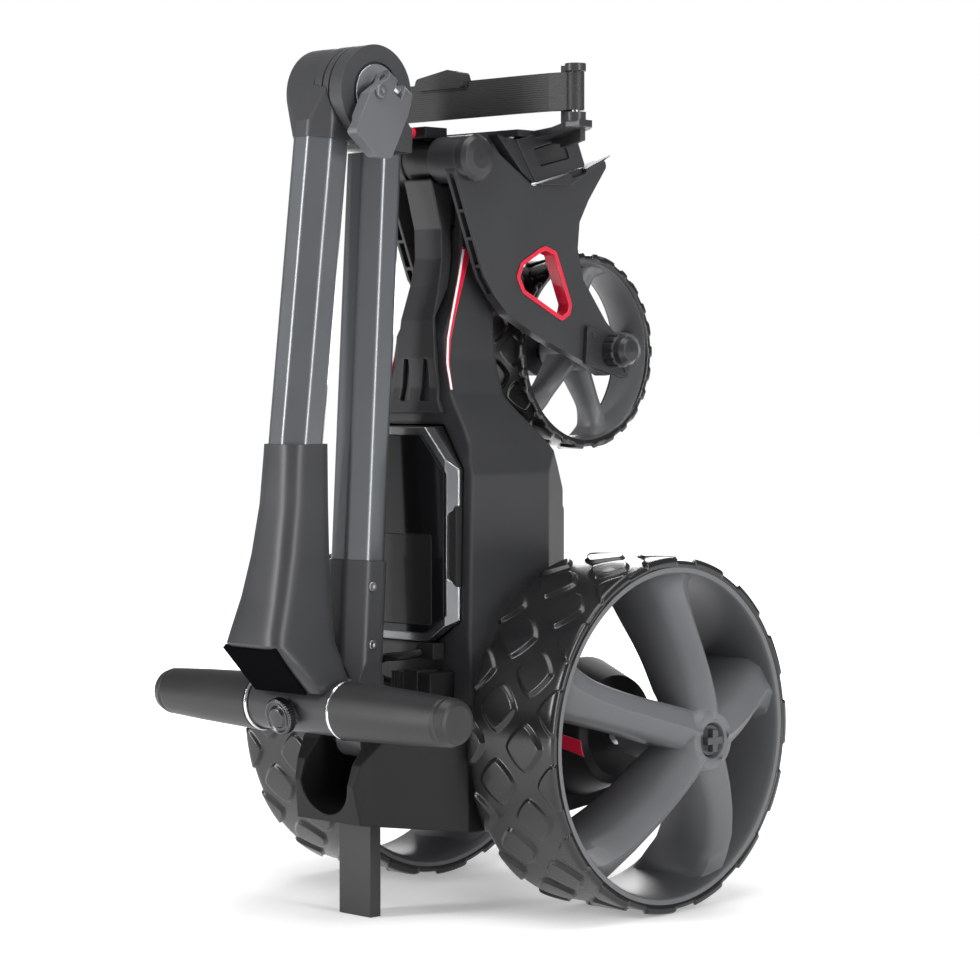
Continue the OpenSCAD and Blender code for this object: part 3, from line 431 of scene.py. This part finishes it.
def capped(name, tube, material):
    """Closed skin of a tube of sections: side quads and a flat fan at each end, faces pointing out."""
    rows, columns = tube.shape[:2]
    points = np.concatenate([tube.reshape(-1, 3), tube[0].mean(0)[None], tube[-1].mean(0)[None]])
    k = np.arange(columns)
    first, last = rows * columns, rows * columns + 1
    near = np.stack([np.full(columns, first), (k + 1) % columns, k], -1)
    far = np.stack([np.full(columns, last), (rows - 1) * columns + k, (rows - 1) * columns + (k + 1) % columns], -1)
    mesh = bpy.data.meshes.new(name)
    mesh.from_pydata(points.tolist(), [], quads(rows, columns, False, True).tolist() + near.tolist() + far.tolist())
    mesh.polygons.foreach_set("use_smooth", np.full(len(mesh.polygons), True))
    mesh.materials.append(material)
    piece = bpy.data.objects.new(name, mesh)
    bpy.context.collection.objects.link(piece)
    point_out(piece)
    return piece


def sharpen(piece, degrees):
    """Marks edges that turn by more than this as sharp, so broad faces stay flat and round ones smooth."""
    mesh = piece.data
    mesh.set_sharp_from_angle(angle=math.radians(degrees))


# The blade and lip edges are painted paler than the grey moulding: painted highlight lines along the blade edges.
rim_finish = finish_of("rim_nylon", rim_grey, 0.4, edge_colour=(0.2, 0.2, 0.205), grain=800, depth=0.12, spread=0.12)
barrel_profile = [[0.0795, 0.1225], [0.0795, 0.1195], [0.084, 0.1165], [0.120, 0.1155], [0.150, 0.1165],
                  [0.1595, 0.1178], [0.1622, 0.1183], [0.1630, 0.1190], [0.1630, 0.1224], [0.1622, 0.1229],
                  [0.1600, 0.1226]]
hub_profile = [[0.122, 0.0062], [0.122, 0.0170], [0.150, 0.0215], [0.165, 0.0240], [0.190, 0.0240], [0.1965, 0.0228],
               [0.2000, 0.0200], [0.2005, 0.0165], [0.1995, 0.0130], [0.1960, 0.0116], [0.1835, 0.0114],
               [0.1830, 0.0062]]
# Radii from the axle, then half widths, back faces and front faces along X at those radii
blade_sizes = ([0.015, 0.032, 0.060, 0.092, 0.112, 0.121], [0.0150, 0.0145, 0.0135, 0.0150, 0.0215, 0.0320],
               [0.165, 0.155, 0.140, 0.116, 0.096, 0.090], [0.196, 0.193, 0.184, 0.168, 0.156, 0.152])
for side, mirror in (("right", 1), ("left", -1)):
    barrel = turned_ring("barrel", [[mirror * x, r] for x, r in barrel_profile], axle_y, axle_height, rim_finish)
    hub = turned_ring("hub", [[mirror * x, r] for x, r in hub_profile], axle_y, axle_height, rim_finish, 120)
    parts = [barrel, hub]
    for k in range(spokes):
        start = math.radians(-62 + 360 / spokes * k)
        tube = blade(start, *blade_sizes, 0.0065, math.radians(6), axle_y, axle_height)
        tube[..., 0] *= mirror
        parts.append(capped("blade", tube, rim_finish))
    rim = join(parts, "rim_blades_" + side)
    point_out(rim)
    sharpen(rim, 40)
    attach(rim, "wheel_" + side)
    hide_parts("rim_" + side)

button_finish = finish_of("button_plastic", (0.05, 0.052, 0.055), 0.3)
dress(button_finish, "hub_button_left", "hub_button_right")

# ---------------------------------------------------------------- handle
# Two soft-cornered aluminium tubes in metallic graphite paint. Their ends sit in satin black mouldings that turn on
# the fold bolt, and a flat cast lever with a small dull boss clamps them.
tube_paint = finish_of("graphite_paint", (0.15, 0.158, 0.168), 0.3, edge_colour=(0.26, 0.265, 0.28), metallic=0.7, coat=0.5,
                       grain=1600, depth=0.015, spread=0.06, wear=0.5)
joint_finish = finish_of("joint_plastic", (0.042, 0.043, 0.046), 0.34)
lever_finish = finish_of("cast_lever", (0.13, 0.133, 0.14), 0.34, metallic=0.4, edge_colour=(0.4, 0.4, 0.4))
dress(tube_paint, "lower_tube", "upper_tube")
dress(joint_finish, "lower_knuckle", "upper_knuckle", "lower_bracket")
dress(lever_finish, "cam_lever")

# Small dull boss on the lever's outer face, turned about X and placed along the lever and along its pin.
boss_metal = finish_of("boss_metal", (0.12, 0.123, 0.13), 0.36, edge_colour=(0.3, 0.3, 0.31), metallic=0.5, grain=500,
                       depth=0.05, spread=0.1)
boss_profile = np.array([[0.0, 0.01], [0.0, 5.2], [1.4, 5.2], [2.2, 4.4], [2.5, 3.2], [2.3, 2.2], [2.3, 0.01]]) / 1000
boss_turn = np.linspace(0, 2 * math.pi, 96, endpoint=False)
lever_lean = math.radians(-123.4)
pin_way = np.array([0, -math.sin(lever_lean), math.cos(lever_lean)])
arm_way = np.array([0, math.cos(lever_lean), math.sin(lever_lean)])
boss_place = np.array([0.0447, -0.09715, 0.5942]) - 0.0145 * pin_way + 0.0135 * arm_way
boss_points = (boss_place + boss_profile[None, :, :1] * np.array([1, 0, 0])
               + (boss_profile[None, :, 1] * np.cos(boss_turn)[:, None])[..., None] * pin_way
               + (boss_profile[None, :, 1] * np.sin(boss_turn)[:, None])[..., None] * arm_way)
boss = skin("cam_boss", boss_points.reshape(-1, 3), quads(96, 7, True, True), boss_metal)
point_out(boss)
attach(boss, "cam_lever")

# ---------------------------------------------------------------- handle housing, bar and grips
# The tube ends in a flared satin housing with a sloping blank display. A cross bar runs through it with a rubber
# grip on each side, a polished ring at each grip, and a knurled dark metal dial on its front.
housing_satin = finish_of("handle_satin", (0.034, 0.035, 0.0375), 0.36, grain=1100, depth=0.1)
grip_rubber = finish_of("grip_rubber", (0.018, 0.018, 0.019), 0.42, grain=500, depth=0.3)
ring_chrome = finish_of("ring_chrome", (0.75, 0.76, 0.78), 0.1, edge_colour=(0.9, 0.9, 0.9), metallic=1.0, grain=200,
                        depth=0.02, spread=0.05)
display_glass = finish_of("display_glass", (0.004, 0.004, 0.0045), 0.3, coat=0.0, grain=120, depth=0.01, spread=0.1,
                          wear=0.0, specular=0.0)
dial_metal = finish_of("dial_metal", (0.07, 0.07, 0.073), 0.24, edge_colour=(0.7, 0.7, 0.71), metallic=0.9, grain=400,
                       depth=0.06, spread=0.15)
dress(housing_satin, "bar_collar")
dress(grip_rubber, "grip_left", "grip_right")
dress(ring_chrome, "grip_rings")
dress(display_glass, "display_panel")
dress(bearing_steel, "cross_bar")

# Heights in mm above the ground, then front y, back y, half width and squareness of the housing at that height. From
# 199.5 down its front stands back a little, so that the display panel covers it.
housing_lines = np.array([
    [343.0, -240.6, -200.6, 19.4, 3.2], [335, -240.9, -200.9, 19.4, 3.4], [300, -243.8, -201.6, 20.6, 3.6],
    [265, -249.8, -202.4, 22.6, 4.0], [235, -257.0, -203.2, 25.2, 4.6], [212, -264.2, -204.0, 28.0, 5.4],
    [203, -266.2, -204.4, 29.6, 6.0], [199.5, -263.6, -203.6, 30.6, 6.0], [190, -254.6, -201.8, 33.2, 6.5],
    [180, -245.2, -199.6, 35.2, 6.5], [171, -236.6, -197.6, 36.4, 6.5], [168.2, -233.4, -198.2, 36.2, 6.5]])
levels = np.concatenate([np.linspace(343, 204, 60), np.linspace(203, 168.2, 30)])
front, back, half, square = (np.interp(-levels, -housing_lines[:, 0], housing_lines[:, k]) for k in (1, 2, 3, 4))
turn = np.linspace(0, 2 * math.pi, 96, endpoint=False)
power = (2 / square)[:, None]
across = half[:, None] * np.sign(np.cos(turn)) * np.abs(np.cos(turn)) ** power
along = (((front + back) / 2)[:, None]
         + ((back - front) / 2)[:, None] * np.sign(np.sin(turn)) * np.abs(np.sin(turn)) ** power)
housing_skin = np.stack([across, along + axle_forward_mm, np.broadcast_to(levels[:, None], across.shape)], -1) / 1000

housing = capped("housing_skin", housing_skin, housing_satin)
housing.data.set_sharp_from_angle(angle=math.radians(50))
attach(housing, "upper_handle")
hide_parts("handle_housing")

# The dial's rim is knurled: its radius ripples forty times round, and its face is dished with a raised middle.
dial_place, dial_tilt = np.array([0, -0.16616, 0.15205]), math.radians(102)
dial_out = np.array([0, -math.sin(dial_tilt), math.cos(dial_tilt)])
dial_up = np.array([0, math.cos(dial_tilt), math.sin(dial_tilt)])
dial_profile = np.array([[2.7, 3.2], [2.7, 12.4], [3.3, 13.3], [8.6, 13.3], [9.5, 12.4], [9.7, 11.6], [8.9, 10.6],
                         [8.7, 8.6], [9.6, 7.6], [10.9, 6.4], [11.3, 4.5], [11.35, 0.01]]) / 1000
dial_turn = np.linspace(0, 2 * math.pi, 480, endpoint=False)
knurl = 1 - 0.035 * (np.abs(np.cos(20 * dial_turn))[:, None]) * (dial_profile[:, 1] > 0.0123)[None, :]
radius = dial_profile[None, :, 1] * knurl
dial_points = (dial_place + dial_profile[None, :, :1] * dial_out
               + (radius * np.cos(dial_turn)[:, None])[..., None] * np.array([1, 0, 0])
               + (radius * np.sin(dial_turn)[:, None])[..., None] * dial_up)
dial = skin("dial_knurled", dial_points.reshape(-1, 3), quads(480, len(dial_profile), True, True), dial_metal)
point_out(dial)
dial.data.set_sharp_from_angle(angle=math.radians(35))
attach(dial, "speed_dial")
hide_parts("speed_dial")

# ---------------------------------------------------------------- fork, cradle and strap
# Two moulded plates with a ribbed channel and a red-trimmed hole hold the front wheel. The bag cradle sits on their
# head, and a woven elastic strap runs between its pins.
fork_finish = finish_of("fork_nylon", (0.028, 0.029, 0.0307), 0.4, radius=0.0015)
cradle_finish = finish_of("cradle_nylon", (0.024, 0.0247, 0.0262), 0.34, radius=0.0012)
insert_finish = finish_of("cradle_rubber", (0.012, 0.012, 0.013), 0.5, grain=500, depth=0.25)
red_gloss = finish_of("red_gloss", line_red, 0.28, edge_colour=(0.9, 0.3, 0.3), coat=0.5, grain=400, depth=0.04, spread=0.08)
dress(fork_finish, "fork_frame")
dress(cradle_finish, "bag_cradle", "fork_end_caps", "tracking_knob", "wheel_axle")
dress(insert_finish, "cradle_inserts")


def ribbed(material, spacing, strength):
    """Adds raised lines one spacing apart in height, as in a woven elastic band: a sine of z before the bump."""
    tree = material.node_tree
    bump = next(node for node in tree.nodes if node.type == "BUMP")
    place, apart, wave, total = (tree.nodes.new("ShaderNode" + kind)
                                 for kind in ("TexCoord", "SeparateXYZ", "Math", "Math"))
    wave.operation, total.operation = "SINE", "MULTIPLY_ADD"
    scale = tree.nodes.new("ShaderNodeMath")
    scale.operation = "MULTIPLY"
    scale.inputs[1].default_value = 2 * math.pi / spacing
    total.inputs[1].default_value = strength
    grain = bump.inputs["Height"].links[0].from_socket
    tree.links.new(place.outputs["Object"], apart.inputs[0])
    tree.links.new(apart.outputs["Z"], scale.inputs[0])
    tree.links.new(scale.outputs[0], wave.inputs[0])
    tree.links.new(wave.outputs[0], total.inputs[0])
    tree.links.new(grain, total.inputs[2])
    tree.links.new(total.outputs[0], bump.inputs["Height"])
    return material


strap_elastic = finish_of("strap_elastic", (0.017, 0.0174, 0.0183), 0.48, grain=700, depth=0.25)
dress(ribbed(strap_elastic, 0.0016, 0.8), "bag_strap")
dress(red_gloss, "fork_hole_trims", "fold_button")

# ---------------------------------------------------------------- front wheel
# A small wheel of the same kind: a dished nylon rim with five curved blades and a lugged rubber tread.
front_y, front_height, front_radius = 0.12715, 0.410, 0.076
front_tread = tread("front_tread", front_radius, -0.0185, 0.0185, 0.0185, 13, front_y, front_height, 0.0019, 0.0125,
                    0.0125, tyre_rubber, lines=40, turns=720)
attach(front_tread, "front_wheel")
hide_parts("front_tyre")
front_barrel = [[-0.0165, 0.0712], [-0.0172, 0.0700], [-0.0165, 0.0682], [-0.010, 0.0662], [0, 0.0655],
                [0.010, 0.0662], [0.0165, 0.0682], [0.0172, 0.0700], [0.0165, 0.0712]]
front_hub = [[-0.021, 0.0062], [-0.021, 0.0130], [-0.017, 0.0150], [0.017, 0.0150], [0.021, 0.0130], [0.021, 0.0062]]
front_blade_sizes = ([0.010, 0.024, 0.045, 0.060, 0.067], [0.0075, 0.0062, 0.0060, 0.0085, 0.0125],
                     [-0.010, -0.009, -0.007, -0.008, -0.011], [0.013, 0.011, 0.008, 0.009, 0.012])
parts = [turned_ring("barrel", front_barrel, front_y, front_height, rim_finish, 200),
         turned_ring("hub", front_hub, front_y, front_height, rim_finish, 96)]
for k in range(spokes):
    start = math.radians(360 / spokes * k)
    tube = blade(start, *front_blade_sizes, 0.0015, math.radians(9), front_y, front_height)
    parts.append(capped("blade", tube, rim_finish))
front_rim = join(parts, "front_rim_blades")
point_out(front_rim)
sharpen(front_rim, 40)
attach(front_rim, "front_wheel")
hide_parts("front_rim")
